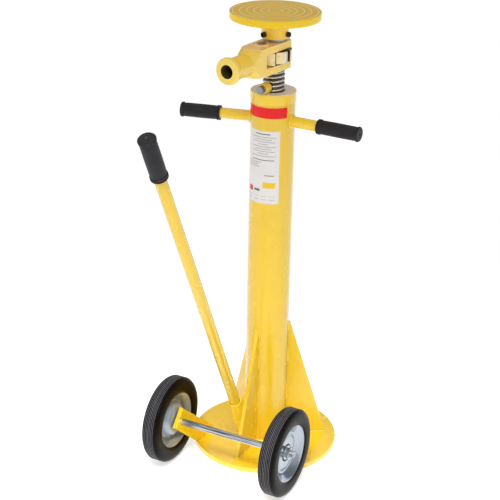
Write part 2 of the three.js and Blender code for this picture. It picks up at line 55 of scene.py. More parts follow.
# ---- sizes read from the frame ----
BASE_R = span("base_plate", 0)[1]
BASE_T = span("base_plate", 2)[1]
COLUMN_R = span("column_tube", 0)[1]
COLUMN_LOW, COLUMN_HIGH = span("column_tube", 2)
CAP_R = span("top_cap", 0)[1]
CAP_LOW, CAP_HIGH = span("top_cap", 2)
PLATE_R = span("load_plate", 0)[1]
PLATE_LOW, PLATE_HIGH = span("load_plate", 2)
COLLAR_R = span("plate_collar", 0)[1]
SCREW_R = span("lift_screw", 0)[1]
SCREW_LOW, SCREW_TOP = span("lift_screw", 2)
HOUSING_LOW = span("ratchet_housing", 2)[0]
HOUSING_HEIGHT = 64
HOUSING_TOP = HOUSING_LOW + HOUSING_HEIGHT
HOUSING_MID = HOUSING_LOW + HOUSING_HEIGHT / 2
WHEEL_X = sum(span("tyre_right", 0)) / 2
AXLE_Y = sum(span("tyre_right", 1)) / 2
AXLE_Z = sum(span("tyre_right", 2)) / 2
TYRE_R = (span("tyre_right", 2)[1] - span("tyre_right", 2)[0]) / 2
TYRE_HALF = (span("tyre_right", 0)[1] - span("tyre_right", 0)[0]) / 2

# ---- sizes shared with the CAD source ----
COLUMN_WALL = 5
CAP_ROOF = 12
CAP_BORE_R = 40.3
THROAT = SCREW_R + 0.8
THREAD_TOP = 954
THREAD_LEAD = 10
JOURNAL_R = 22.7
SPIGOT_R = 17.5
HANDLE_Z = 838
HANDLE_R = 12.5
HANDLE_REACHES = {"left": 213.5, "right": 216}
HANDLE_AZIMUTHS = {"left": -166.6, "right": -2.2}
GRIP_STARTS = {"left": 122.5, "right": 116.5}
GRIP_R = 16
GUSSET_T = 9.5
GUSSET_REACH = 150
GUSSET_AZIMUTHS = {"front": -90, "right": 30, "left": 150}
BRACKET_INNER = 120
BRACKET_T = 10
AXLE_R = 7.9
LEVER_FOOT = Vector((-23.4, -50.5, 12.7))
LEVER_DIRECTION = Vector((0.021, -0.519, 1)).normalized()
LEVER_R = 13.35
LEVER_START = 33.5
LEVER_END = 1045.5
LEVER_GRIP_START = 941
LEVER_GRIP_R = 18
SOCKET_TUBE_R = 17.2
LOCK_AZIMUTH = -94
HOUSING_AZIMUTH = -96.5
STUB_R = 25
SOCKET_R = 15.2
SOCKET_BACK = 100
GEAR_R = 39.5
NOTCH_PITCH = 60


# ---- materials ----
YELLOW = "#FAD120"
YELLOW_SHADE = "#F6C91A"
# the yellow paint darkened for the column, gussets and lever: painted shade
SHADED_YELLOW = "#ECC41E"
# pale film on level tops: dust, and a painted reflection of the pale backdrop
DUST_AND_SHEEN = "#FBF1E0"
RING_FIRST = 0.6            # radius that the rings are counted from, and the step between rings
RING_PITCH = 15.8
RING_COUNT = 6


def srgb(code):
    """Linear colour from a #rrggbb code."""
    values = [int(code[i:i + 2], 16) / 255 for i in (1, 3, 5)]
    return tuple(v / 12.92 if v <= 0.04045 else ((v + 0.055) / 1.055) ** 2.4 for v in values) + (1.0,)


class Look:
    """A procedural material: a principled shader and short calls that wire textures into it."""

    def __init__(self, name, color, roughness, metallic=0.0, **sockets):
        self.material = bpy.data.materials.new(name)
        self.material.use_nodes = True
        self.tree = self.material.node_tree
        self.shader = self.tree.nodes["Principled BSDF"]
        self.set("Base Color", srgb(color))
        self.set("Roughness", roughness)
        self.set("Metallic", metallic)
        for socket, value in sockets.items():
            self.set(socket.replace("_", " "), value)
        self.place = self.node("ShaderNodeTexCoord").outputs["Object"]
        self.height = None

    def set(self, socket, value):
        self.shader.inputs[socket].default_value = value

    def node(self, kind, **values):
        made = self.tree.nodes.new(kind)
        for key, value in values.items():
            if hasattr(made, key):
                setattr(made, key, value)
            else:
                made.inputs[key.replace("_", " ")].default_value = value
        return made

    def link(self, source, target):
        self.tree.links.new(source, target)

    def noise(self, scale, detail=3.0, stretch=(1, 1, 1)):
        place = self.place
        if stretch != (1, 1, 1):
            mapping = self.node("ShaderNodeMapping")
            mapping.inputs["Scale"].default_value = stretch
            self.link(self.place, mapping.inputs["Vector"])
            place = mapping.outputs["Vector"]
        texture = self.node("ShaderNodeTexNoise", Scale=scale, Detail=detail)
        self.link(place, texture.inputs["Vector"])
        return texture.outputs["Fac"]

    def math(self, operation, first, second=0.0, clamp=False):
        made = self.node("ShaderNodeMath", operation=operation, use_clamp=clamp)
        for i, value in enumerate((first, second)):
            if isinstance(value, (int, float)):
                made.inputs[i].default_value = value
            else:
                self.link(value, made.inputs[i])
        return made.outputs[0]

    def product(self, *values):
        out = values[0]
        for value in values[1:]:
            out = self.math("MULTIPLY", out, value)
        return out

    def ramp(self, source, low, high, start=0.0, end=1.0):
        """Maps source from start..end to low..high, held at both ends."""
        made = self.node("ShaderNodeMapRange")
        made.inputs["From Min"].default_value = start
        made.inputs["From Max"].default_value = end
        made.inputs["To Min"].default_value = low
        made.inputs["To Max"].default_value = high
        self.link(source, made.inputs["Value"])
        return made.outputs["Result"]

    def above(self, source, limit, blend=0.3):
        """0 below a limit, 1 above it; both lengths in millimetres."""
        return self.ramp(source, 0.0, 1.0, (limit - blend) * MM, (limit + blend) * MM)

    def below(self, source, limit, blend=0.3):
        return self.ramp(source, 1.0, 0.0, (limit - blend) * MM, (limit + blend) * MM)

    def tint(self, mask, color):
        """Mixes a further colour over the base colour where the mask is 1."""
        mix = self.node("ShaderNodeMixRGB")
        socket = self.shader.inputs["Base Color"]
        if socket.is_linked:
            self.link(socket.links[0].from_socket, mix.inputs["Color1"])
        else:
            mix.inputs["Color1"].default_value = socket.default_value[:]
        mix.inputs["Color2"].default_value = srgb(color)
        self.link(mask, mix.inputs["Fac"])
        self.link(mix.outputs["Color"], socket)

    def rough(self, value):
        self.link(value, self.shader.inputs["Roughness"])

    def bump(self, height, distance, strength=1.0):
        made = self.node("ShaderNodeBump", Strength=strength, Distance=distance)
        self.link(height, made.inputs["Height"])
        if self.height is not None:
            self.link(self.height, made.inputs["Normal"])
        self.height = made.outputs["Normal"]
        self.link(self.height, self.shader.inputs["Normal"])

    def part(self, axis, origin=0.0):
        """One coordinate of the shading point, in metres, counted from an origin in millimetres."""
        made = self.node("ShaderNodeSeparateXYZ")
        self.link(self.place, made.inputs[0])
        return self.math("SUBTRACT", made.outputs[axis], origin * MM) if origin else made.outputs[axis]

    def distance(self, first, second):
        """Distance from the line on which both coordinates are zero."""
        return self.math("SQRT", self.math("ADD", self.product(first, first), self.product(second, second)))

    def radius(self):
        return self.distance(self.part("X"), self.part("Y"))

    def wheel_radius(self):
        return self.distance(self.part("Y", AXLE_Y), self.part("Z", AXLE_Z))

    def across(self, azimuth):
        """Level distance to the left of an upright plane that runs out from the origin at an azimuth."""
        angle = math.radians(azimuth)
        return self.math("ADD", self.product(self.part("X"), -math.sin(angle)),
                         self.product(self.part("Y"), math.cos(angle)))

    def edge_wear_and_highlight(self, radius):
        """1 on exposed edges, 0 on flat and hollow stretches."""
        shape = self.node("ShaderNodeNewGeometry")
        return self.ramp(shape.outputs["Pointiness"], 0.0, 1.0, 0.5 + radius, 0.5 + 2 * radius)


def powder_coat(name="yellow powder coat", coat_roughness=0.27, coat_ior=1.46, color=None, dust_and_sheen_top=None):
    """Glossy paint with a faint orange peel; a level top may carry a paler film of patchy dust and painted
    reflection of the backdrop.
    """
    look = Look(name, color or YELLOW, 0.24,
                Coat_Weight=1.0, Coat_Roughness=coat_roughness, Coat_IOR=coat_ior)
    look.tint(look.ramp(look.noise(5, 2), 0.0, 0.3, 0.35, 0.75), color or YELLOW_SHADE)
    if dust_and_sheen_top is not None:
        # patchy paler film on the level top: dust, and a painted reflection of the backdrop
        level = look.above(look.part("Z"), dust_and_sheen_top - 0.5, 0.2)
        film = look.product(level, look.ramp(look.noise(18, 4), 0.8, 1.0))
        look.tint(film, DUST_AND_SHEEN)
    look.rough(look.ramp(look.noise(40, 3), 0.24, 0.28, 0.3, 0.7))
    look.bump(look.noise(260, 2), 0.00003, 0.07)
    return look


def weld_paint():
    """The same paint over a weld bead, slightly coarser."""
    look = Look("painted weld", YELLOW, 0.26, Coat_Weight=1.0, Coat_Roughness=0.06)
    look.tint(look.ramp(look.noise(90, 3), 0.0, 0.5, 0.5, 0.75), "#E9B81F")
    look.bump(look.noise(500, 3), 0.0001, 0.4)
    return look


def ringed_paint():
    """The load plate: satin paint on a turned face, coloured a duller ochre than its yellow rim as painted
    shade, with paler rings over its grooves that are wear and painted highlight; glossy round its rim.
    """
    # painted shade: the plate's colour is a duller ochre than the yellow left round its rim
    look = Look("load plate paint", "#F6C84A", 0.5, Specular_IOR_Level=0.3)
    radius = look.radius()
    look.tint(look.ramp(look.noise(14, 4), 0.0, 0.4, 0.4, 0.7), "#EABD42")
    turned = look.math("SINE", look.product(radius, 4200))
    look.tint(look.ramp(turned, 0.0, 0.22, 0.2, 1.0), "#F8DA7C")
    outward = look.math("SUBTRACT", radius, RING_FIRST * MM)
    position = look.math("FRACT", look.math("DIVIDE", outward, RING_PITCH * MM))
    centred = look.math("ABSOLUTE", look.math("SUBTRACT", position, 0.5))
    on_ring = look.ramp(centred, 0.0, 1.0, 0.43, 0.465)
    # paler rings over the grooves: wear, and a painted highlight on the groove edges
    look.tint(look.product(on_ring, look.above(look.part("Z"), PLATE_HIGH - 1.1)), "#FFF6D2")
    rim = look.above(radius, PLATE_R - 1.2, 0.3)
    look.tint(rim, YELLOW)
    look.rough(look.ramp(rim, 0.5, 0.26))
    look.bump(turned, 0.00002, 0.3)
    look.bump(look.noise(400, 2), 0.00005, 0.3)
    return look


def cast_paint(name="painted casting", shaded_bore_pale_top=True):
    """Satin paint on a fine-grained casting; inside the handle socket is painted shade, and its top gets a
    paler film of dust and painted reflection.
    """
    look = Look(name, "#FCD64A", 0.34, Coat_Weight=0.8, Coat_Roughness=0.12)
    look.tint(look.ramp(look.noise(28, 4), 0.0, 0.4, 0.4, 0.7), "#F4CC4C")
    # painted highlight: pale tint along the casting's exposed edges
    look.tint(look.ramp(look.edge_wear_and_highlight(0.012), 0.0, 0.7), "#FDF0C4")
    look.rough(look.ramp(look.noise(150, 4), 0.32, 0.48, 0.35, 0.7))
    if shaded_bore_pale_top:
        height = look.part("Z", HOUSING_MID)
        # painted shade: dark olive inside the handle socket's bore
        bore = look.product(look.below(look.distance(look.across(HOUSING_AZIMUTH), height), SOCKET_R + 0.3),
                            look.above(look.radius(), SOCKET_BACK, 2))
        look.tint(bore, "#5A5226")
        # patchy paler film on the top face: dust, and a painted reflection of the backdrop
        look.tint(look.product(look.above(height, 31.7, 0.2), look.ramp(look.noise(24, 4), 0.3, 0.6)), DUST_AND_SHEEN)
    look.bump(look.noise(600, 4), 0.00008, 0.5)
    look.bump(look.noise(120, 3), 0.0003, 0.25)
    return look


def overspray(name):
    """Patchy paint that drifted onto the parts inside the housing."""
    look = cast_paint(name, False)
    look.tint(look.ramp(look.noise(130, 4), 0.0, 0.7, 0.5, 0.66), "#F0E2B4")
    look.tint(look.ramp(look.noise(190, 3), 0.0, 0.6, 0.62, 0.72), "#8E7434")
    return look


def worn_wheel_paint():
    """The ratchet wheel: overspray on its rim, oiled steel darkened as painted shade in its notches, bright
    notch edges.
    """
    look = overspray("ratchet wheel paint")
    radius = look.radius()
    notch = look.below(radius, GEAR_R - 1.2, 0.5)
    # painted shade: the notch floors are coloured darker than the oiled steel
    look.tint(notch, "#3B352B")
    angle = look.math("ARCTAN2", look.part("Y"), look.part("X"))
    from_socket = look.math("SUBTRACT", angle, math.radians(HOUSING_AZIMUTH))
    turns = look.math("DIVIDE", from_socket, math.radians(NOTCH_PITCH))
    share = look.math("FRACT", look.math("ADD", turns, 6.0))
    flank = look.product(look.ramp(share, 0.0, 1.0, 0.22, 0.25), look.ramp(share, 1.0, 0.0, 0.35, 0.36),
                         look.above(radius, GEAR_R - 0.8))
    look.tint(flank, "#C9CCD0")
    look.link(look.math("MAXIMUM", look.product(notch, 0.8), flank), look.shader.inputs["Metallic"])
    return look


def oiled_steel():
    look = Look("oiled steel", "#8A857E", 0.22, 1.0)
    look.tint(look.ramp(look.noise(90, 5), 0.0, 0.6, 0.45, 0.7), "#5A534A")
    look.rough(look.ramp(look.noise(260, 4), 0.16, 0.36, 0.3, 0.7))
    look.bump(look.noise(900, 3), 0.00004, 0.4)
    return look


def screw_steel():
    """Bright crests that the nut has polished; between them the steel is darkened as painted shade."""
    look = Look("screw steel", "#D6D3CE", 0.16, 1.0)
    radius = look.radius()
    threaded = look.below(look.part("Z"), THREAD_TOP)
    valley = look.product(look.below(radius, SCREW_R - 1.5, 0.8), threaded)
    # painted shade: darker colour low between the thread's crests
    look.tint(valley, "#5A534B")
    look.tint(look.ramp(look.noise(60, 3), 0.0, 0.4, 0.5, 0.62), "#A39C93")
    look.rough(look.ramp(valley, 0.16, 0.34))
    look.bump(look.noise(500, 2), 0.00003, 0.3)
    return look


def zinc(name="zinc plating", color="#BFC3C7", shade="#A4ACB4", roughness=0.24, warm=0.25, metallic=1.0):
    look = Look(name, color, roughness, metallic)
    look.tint(look.ramp(look.noise(14, 2), 0.0, 0.6, 0.3, 0.75), shade)
    look.tint(look.ramp(look.noise(18, 3), 0.0, warm, 0.55, 0.75), "#C9C7A8")
    look.rough(look.ramp(look.noise(20, 2), roughness - 0.02, roughness + 0.04, 0.3, 0.7))
    look.bump(look.noise(300, 2), 0.00002, 0.06)
    return look


def drawn_rod():
    """The axle: bright bar with long draw marks along X."""
    look = Look("drawn bar", "#CBD0D6", 0.3, 0.9)
    marks = look.noise(330, 4, (0.03, 1.2, 1.2))
    look.tint(look.ramp(marks, 0.0, 0.95, 0.47, 0.58), "#4C5057")
    look.rough(look.ramp(marks, 0.24, 0.45, 0.35, 0.65))
    look.bump(marks, 0.0002, 0.5)
    return look


def tyre_rubber():
    """Moulded black rubber, with a painted grey highlight on the crests of the tread's ribs."""
    look = Look("tyre rubber", "#0D0B0B", 0.3, Specular_IOR_Level=0.08)
    look.tint(look.ramp(look.noise(22, 4), 0.0, 0.5, 0.4, 0.75), "#131213")
    # painted highlight: grey on the crests of the tread's ribs
    look.tint(look.product(look.above(look.wheel_radius(), TYRE_R - 0.35, 0.2), 0.75), "#7C7A80")
    look.rough(look.ramp(look.noise(60, 3), 0.26, 0.36, 0.3, 0.7))
    look.bump(look.noise(500, 3), 0.00003, 0.3)
    return look


def grip_rubber():
    look = Look("grip rubber", "#1B191D", 0.5, Specular_IOR_Level=0.3)
    look.tint(look.ramp(look.noise(40, 4), 0.0, 0.6, 0.4, 0.7), "#262429")
    look.bump(look.noise(700, 4), 0.0003, 0.5)
    return look


def black_oxide():
    look = Look("black oxide", "#171616", 0.34, 0.6)
    look.tint(look.edge_wear_and_highlight(0.03), "#3C3A38")
    look.bump(look.noise(900, 3), 0.00005, 0.5)
    return look


def bronze():
    look = Look("bronze", "#9C7438", 0.3, 1.0)
    look.tint(look.ramp(look.noise(80, 4), 0.0, 0.6, 0.4, 0.7), "#6F4F25")
    look.bump(look.noise(600, 3), 0.00006, 0.5)
    return look


def nylon():
    look = Look("nylon", "#DAD6C8", 0.45, Subsurface_Weight=0.1)
    look.bump(look.noise(500, 3), 0.00005, 0.4)
    return look


def label_vinyl():
    look = Look("label vinyl", "#E3E0DF", 0.34, Coat_Weight=0.2)
    look.tint(look.ramp(look.noise(30, 4), 0.0, 0.3, 0.4, 0.7), "#D8D5D2")
    look.bump(look.noise(120, 2), 0.0001, 0.2)
    return look


def label_ink(name, color):
    look = Look(name, color, 0.45)
    look.bump(look.noise(900, 2), 0.00003, 0.4)
    return look


def reflective_tape():
    """Red tape with a fine cell pattern under its clear face."""
    look = Look("reflective tape", "#EC0812", 0.34,
                Coat_Weight=0.15, Coat_Roughness=0.08, Specular_IOR_Level=0.3)
    cells = look.node("ShaderNodeTexVoronoi", Scale=420.0, feature="DISTANCE_TO_EDGE")
    look.link(look.place, cells.inputs["Vector"])
    look.tint(look.ramp(cells.outputs["Distance"], 0.4, 0.0, 0.02, 0.12), "#F4262A")
    look.bump(cells.outputs["Distance"], 0.0001, 0.2)
    return look


LOOKS = {
    "yellow_paint": powder_coat(),
    # column, gussets and lever: the same yellow paint darkened as painted shade
    "shaded_body_paint": powder_coat("shaded body paint", color=SHADED_YELLOW),
    "base_paint": powder_coat("base paint", 0.05, 1.65),
    "cap_paint": powder_coat("cap paint", 0.16, dust_and_sheen_top=CAP_HIGH),
    "weld_paint": weld_paint(),
    "plate_paint": ringed_paint(),
    "cast_paint": cast_paint(),
    "wheel_paint": worn_wheel_paint(),
    "overspray": overspray("overspray"),
    "machined_steel": oiled_steel(),
    "screw_steel": screw_steel(),
    "zinc_plate": zinc(),
    "dull_zinc": zinc("dull zinc", "#A3A5A7", "#74777B", 0.3, 0.0),
    "rim_zinc": zinc("rim zinc", "#B0B8C2", "#8391A2", 0.14, 0.0, 0.97),
    "dish_zinc": zinc("dish zinc", "#AEB8C4", "#8894A3", 0.18, 0.0, 0.5),
    "drawn_bar": drawn_rod(),
    "tyre_rubber": tyre_rubber(),
    "grip_rubber": grip_rubber(),
    "black_oxide": black_oxide(),
    "bronze": bronze(),
    "nylon": nylon(),
    "label": label_vinyl(),
    "ink_grey": label_ink("grey ink", "#A09D9B"),
    "ink_dark": label_ink("dark ink", "#5A5856"),
    "ink_yellow": label_ink("yellow ink", "#F0C419"),
    "ink_red": label_ink("red ink", "#C8372C"),
    "tape": reflective_tape(),
}


# ---- pieces ----
def mesh_object(name, points, faces, smooth=True):
    mesh = bpy.data.meshes.new(name)
    mesh.from_pydata([tuple(c * MM for c in p) for p in points], [], faces)
    mesh.update()
    for polygon in mesh.polygons:
        polygon.use_smooth = smooth
    made = bpy.data.objects.new(name, mesh)
    bpy.context.scene.collection.objects.link(made)
    return made


def finish_piece(piece, look, body, slot, *nodes):
    """Gives a piece its material and the body it rides on, and hides the CAD nodes it stands for; slot is not
    used.
    """
    piece.data.materials.clear()
    piece.data.materials.append(LOOKS[look].material)
    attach(piece, body)
    if nodes:
        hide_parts(*nodes)
    return piece


def turn_to(direction, origin=(0, 0, 0)):
    """Matrix, in millimetres, that lays a piece built along Z along a direction from an origin."""
    turn = Vector((0, 0, 1)).rotation_difference(Vector(direction)).to_matrix().to_4x4()
    return Matrix.Translation(Vector(origin)) @ turn


def radial(azimuth, height):
    """Matrix that lays a piece built along Z level, outward at an azimuth, at a height."""
    angle = math.radians(azimuth)
    return turn_to((math.cos(angle), math.sin(angle), 0), (0, 0, height))


def rounded(points, radius, closed=False, steps=4):
    """The outline with each sharp corner replaced by an arc of at most the given radius."""
    count = len(points)
    out = []
    for i, point in enumerate(points):
        corner = Vector(point)
        if not closed and i in (0, count - 1):
            out.append(tuple(corner))
            continue
        before = Vector(points[i - 1]) - corner
        after = Vector(points[(i + 1) % count]) - corner
        turn = before.angle(after)
        if turn > math.radians(172):
            out.append(tuple(corner))
            continue
        reach = min(radius / math.tan(turn / 2), before.length * 0.45, after.length * 0.45)
        start = corner + before.normalized() * reach
        end = corner + after.normalized() * reach
        for k in range(steps + 1):
            t = k / steps
            out.append(tuple((1 - t) ** 2 * start + 2 * t * (1 - t) * corner + t * t * end))
    return out


def lathe(name, profile, segments=96, closed=False, place=None):
    """Revolves [radius, height] points about Z; an open profile starts and ends on the axis."""
    points = []
    rows = []
    for r, z in profile:
        if r < 1e-6:
            rows.append([len(points)])
            points.append((0, 0, z))
            continue
        rows.append(list(range(len(points), len(points) + segments)))
        for k in range(segments):
            a = 2 * math.pi * k / segments
            points.append((r * math.cos(a), r * math.sin(a), z))
    faces = []
    pairs = zip(rows, rows[1:] + rows[:1]) if closed else zip(rows, rows[1:])
    for low, high in pairs:
        for k in range(segments):
            n = (k + 1) % segments
            if len(low) == 1 and len(high) > 1:
                faces.append((low[0], high[n], high[k]))
            elif len(high) == 1 and len(low) > 1:
                faces.append((low[k], low[n], high[0]))
            elif len(low) > 1:
                faces.append((low[k], low[n], high[n], high[k]))
    if place is not None:
        points = [tuple(place @ Vector(p)) for p in points]
    made = mesh_object(name, points, faces)
    face_out(made.data)
    return made


def face_out(mesh):
    shell = bmesh.new()
    shell.from_mesh(mesh)
    bmesh.ops.recalc_face_normals(shell, faces=shell.faces)
    shell.to_mesh(mesh)
    shell.free()


def ring_profile(outer, inner, low, high, radius=0.6):
    return rounded([(inner, low), (outer, low), (outer, high), (inner, high)], radius, closed=True)


def swept(name, path, radii, sides=10, closed=False):
    """A round bar along a path, with a radius at each point."""
    points = []
    count = len(path)
    path = [Vector(p) for p in path]
    normal = None
    for i, centre in enumerate(path):
        ahead = path[(i + 1) % count] if closed or i < count - 1 else centre
        behind = path[i - 1] if closed or i > 0 else centre
        tangent = (ahead - behind).normalized()
        if normal is None:
            normal = tangent.orthogonal().normalized()
        normal = (normal - tangent * normal.dot(tangent)).normalized()
        side = tangent.cross(normal)
        for k in range(sides):
            a = 2 * math.pi * k / sides
            points.append(tuple(centre + (normal * math.cos(a) + side * math.sin(a)) * radii[i]))
    faces = []
    for i in range(count if closed else count - 1):
        for k in range(sides):
            n = (k + 1) % sides
            j = (i + 1) % count
            faces.append((i * sides + k, i * sides + n, j * sides + n, j * sides + k))
    if not closed:
        faces.append(tuple(range(sides))[::-1])
        faces.append(tuple(range((count - 1) * sides, count * sides)))
    made = mesh_object(name, points, faces)
    face_out(made.data)
    return made


def joined(name, pieces):
    """One object made of several."""
    shell = bmesh.new()
    for piece in pieces:
        shell.from_mesh(piece.data)
        mesh = piece.data
        bpy.data.objects.remove(piece)
        bpy.data.meshes.remove(mesh)
    mesh = bpy.data.meshes.new(name)
    shell.to_mesh(mesh)
    shell.free()
    made = bpy.data.objects.new(name, mesh)
    bpy.context.scene.collection.objects.link(made)
    return made


def copied(node, name):
    """A new object with a CAD node's shape, its split vertices merged and its flat faces whole."""
    mesh = NODES[node].data.copy()
    shell = bmesh.new()
    shell.from_mesh(mesh)
    bmesh.ops.remove_doubles(shell, verts=shell.verts, dist=2e-6)
    bmesh.ops.dissolve_limit(shell, angle_limit=math.radians(1), verts=shell.verts, edges=shell.edges)
    shell.to_mesh(mesh)
    shell.free()
    made = bpy.data.objects.new(name, mesh)
    bpy.context.scene.collection.objects.link(made)
    return made


SMOOTH_BELOW = math.radians(34)


def dressed(node, look, body, slot, bevel=0.5):
    """The CAD node's shape with its sharp edges rounded over."""
    made = copied(node, node + "_look")
    for polygon in made.data.polygons:
        polygon.use_smooth = True
    rounding = made.modifiers.new("rounding", "BEVEL")
    rounding.width = bevel * MM
    rounding.segments = 3
    rounding.limit_method = "ANGLE"
    rounding.angle_limit = SMOOTH_BELOW
    rounding.harden_normals = True
    made.data.set_sharp_from_angle(angle=SMOOTH_BELOW)
    return finish_piece(made, look, body, slot, node)


def cast(node, look, body, slot, voxel, passes):
    """The CAD node's shape as a casting, with every edge rounded."""
    made = copied(node, node + "_look")
    remesh = made.modifiers.new("skin", "REMESH")
    remesh.mode = "VOXEL"
    remesh.voxel_size = voxel * MM
    soften = made.modifiers.new("soften", "SMOOTH")
    soften.factor = 0.5
    soften.iterations = passes
    bpy.context.view_layer.update()
    shape = bpy.data.meshes.new_from_object(made.evaluated_get(bpy.context.evaluated_depsgraph_get()))
    made.modifiers.clear()
    made.data = shape
    for polygon in shape.polygons:
        polygon.use_smooth = True
    return finish_piece(made, look, body, slot, node)


# ---- welds ----
WELD_STEP = 1.3
RIPPLE_LENGTH = 4.2
WELD_FOOT = BASE_T + 0.6    # height of the beads that lie on the base plate


def weld(name, path, radius=3.2, closed=False):
    """A rippled weld bead along a path of closely spaced points."""
    points = []
    radii = []
    path = [Vector(p) for p in path]
    legs = list(zip(path, path[1:] + path[:1] if closed else path[1:]))
    for start, end in legs:
        steps = max(1, round((end - start).length / WELD_STEP))
        for k in range(steps):
            points.append(start.lerp(end, k / steps))
    if not closed:
        points.append(path[-1])
    for i, point in enumerate(points):
        run = i * WELD_STEP
        wobble = noise.noise(point * 0.11) * 0.14 + noise.noise(point * 0.45) * 0.06
        ripple = 0.06 * math.sin(2 * math.pi * run / RIPPLE_LENGTH)
        taper = 1.0
        if not closed:
            taper = min(1.0, 0.45 + 0.2 * min(i, len(points) - 1 - i))
        radii.append(radius * taper * (1 + wobble + ripple))
    return swept(name, points, radii, 10, closed)


def paint_welds(name, beads, body="stand"):
    return finish_piece(joined(name, beads), "weld_paint", body, "yellow_paint")


def at_azimuth(azimuth, outward, sideways, height):
    """Point given by distances outward and sideways (anticlockwise) of an azimuth."""
    a = math.radians(azimuth)
    x = outward * math.cos(a) - sideways * math.sin(a)
    y = outward * math.sin(a) + sideways * math.cos(a)
    return (x, y, height)


GUSSET_TACKS = [(16, 52), (108, 152), (212, 252), (296, 321)]
GUSSET_FOOT_TACKS = [(56, 84), (104, 152)]


def gusset_welds():
    beads = []
    edge = GUSSET_T / 2 + 0.4
    for azimuth in GUSSET_AZIMUTHS.values():
        for side in (-edge, edge):
            for low, high in GUSSET_TACKS:
                ends = [at_azimuth(azimuth, COLUMN_R + 0.2, side, z) for z in (low, high)]
                beads.append(weld("bead", ends, 2.7))
            for near, far in GUSSET_FOOT_TACKS:
                ends = [at_azimuth(azimuth, r, side, WELD_FOOT) for r in (near, far)]
                beads.append(weld("bead", ends, 3.0))
        tip = [at_azimuth(azimuth, GUSSET_REACH + 0.6, side, WELD_FOOT) for side in (-edge, edge)]
        beads.append(weld("bead", tip, 3.0))
    return paint_welds("gusset_welds", beads)


def circle(radius, height, steps=120):
    angles = [2 * math.pi * k / steps for k in range(steps)]
    return [(radius * math.cos(a), radius * math.sin(a), height) for a in angles]


def column_weld():
    return paint_welds("column_weld", [weld("bead", circle(COLUMN_R + 0.6, WELD_FOOT), 3.4, True)])


def handle_welds():
    beads = []
    for azimuth in HANDLE_AZIMUTHS.values():
        loop = []
        for k in range(48):
            a = 2 * math.pi * k / 48
            sideways = (HANDLE_R + 0.8) * math.cos(a)
            outward = math.sqrt(COLUMN_R ** 2 - sideways ** 2) + 0.8
            loop.append(at_azimuth(azimuth, outward, sideways, HANDLE_Z + (HANDLE_R + 0.8) * math.sin(a)))
        beads.append(weld("bead", loop, 3.0, True))
    return paint_welds("handle_welds", beads)


def bracket_welds():
    beads = []
    for side in (-1, 1):
        for x in (BRACKET_INNER - 0.4, BRACKET_INNER + BRACKET_T + 0.4):
            reach = math.sqrt(BASE_R ** 2 - x ** 2)
            start = -min(reach - 4, 124)
            middle = (start - 54) / 2
            beads.append(weld("bead", [(side * x, start, WELD_FOOT), (side * x, middle - 8, WELD_FOOT)], 3.2))
            beads.append(weld("bead", [(side * x, middle + 8, WELD_FOOT), (side * x, -54, WELD_FOOT)], 3.2))
    return paint_welds("bracket_welds", beads)


def socket_welds():
    """Beads where the lever socket meets the front gusset and the base plate."""
    beads = []
    side = -GUSSET_T / 2 - 1.2
    for low, high in ((24, 46), (78, 112)):
        line = [(side, LEVER_FOOT.y + (z - LEVER_FOOT.z) * LEVER_DIRECTION.y / LEVER_DIRECTION.z, z)
                for z in (low, high)]
        beads.append(weld("bead", line, 2.8))
    foot = []
    for degrees in range(170, 331, 16):
        a = math.radians(degrees)
        foot.append((LEVER_FOOT.x + (SOCKET_TUBE_R + 0.4) * math.cos(a),
                     LEVER_FOOT.y + (SOCKET_TUBE_R + 2.6) * math.sin(a), WELD_FOOT))
    beads.append(weld("bead", foot, 3.0))
    return paint_welds("socket_welds", beads)


def collar_weld():
    bead = weld("bead", circle(COLLAR_R + 0.4, PLATE_LOW - 0.9), 2.0, True)
    return paint_welds("collar_weld", [bead], "plate")


def boss_welds():
    beads = []
    floor = CAP_HIGH + 0.4
    for side in (-8.6, 8.6):
        beads.append(weld("bead", [at_azimuth(LOCK_AZIMUTH, r, side, floor) for r in (34, 48)], 1.2))
    return paint_welds("boss_welds", beads)


# ---- frame ----
def base_plate():
    profile = rounded([(0, 0), (BASE_R, 0), (BASE_R, BASE_T), (0, BASE_T)], 1.6)
    piece = lathe("base_plate_look", profile, 160)
    return finish_piece(piece, "base_paint", "stand", "yellow_paint", "base_plate")


def column_tube():
    profile = ring_profile(COLUMN_R, COLUMN_R - COLUMN_WALL, COLUMN_LOW, COLUMN_HIGH)
    piece = lathe("column_tube_look", profile, 128, True)
    return finish_piece(piece, "shaded_body_paint", "stand", "yellow_paint", "column_tube")


def top_cap():
    under = CAP_HIGH - CAP_ROOF
    profile = rounded([
        (THROAT, CAP_HIGH), (CAP_R, CAP_HIGH), (CAP_R, CAP_LOW),
        (CAP_BORE_R, CAP_LOW), (CAP_BORE_R, under), (THROAT, under),
    ], 1.3, closed=True)
    piece = lathe("top_cap_look", profile, 128, True)
    return finish_piece(piece, "cap_paint", "stand", "yellow_paint", "top_cap")


def carry_handle(side):
    place = radial(HANDLE_AZIMUTHS[side], HANDLE_Z)
    start = COLUMN_R - 1.2
    profile = ring_profile(HANDLE_R, HANDLE_R - 2.5, start, HANDLE_REACHES[side], 0.4)
    piece = lathe(f"carry_handle_{side}_look", profile, 48, True, place)
    return finish_piece(piece, "yellow_paint", "stand", "yellow_paint", f"carry_handle_{side}")


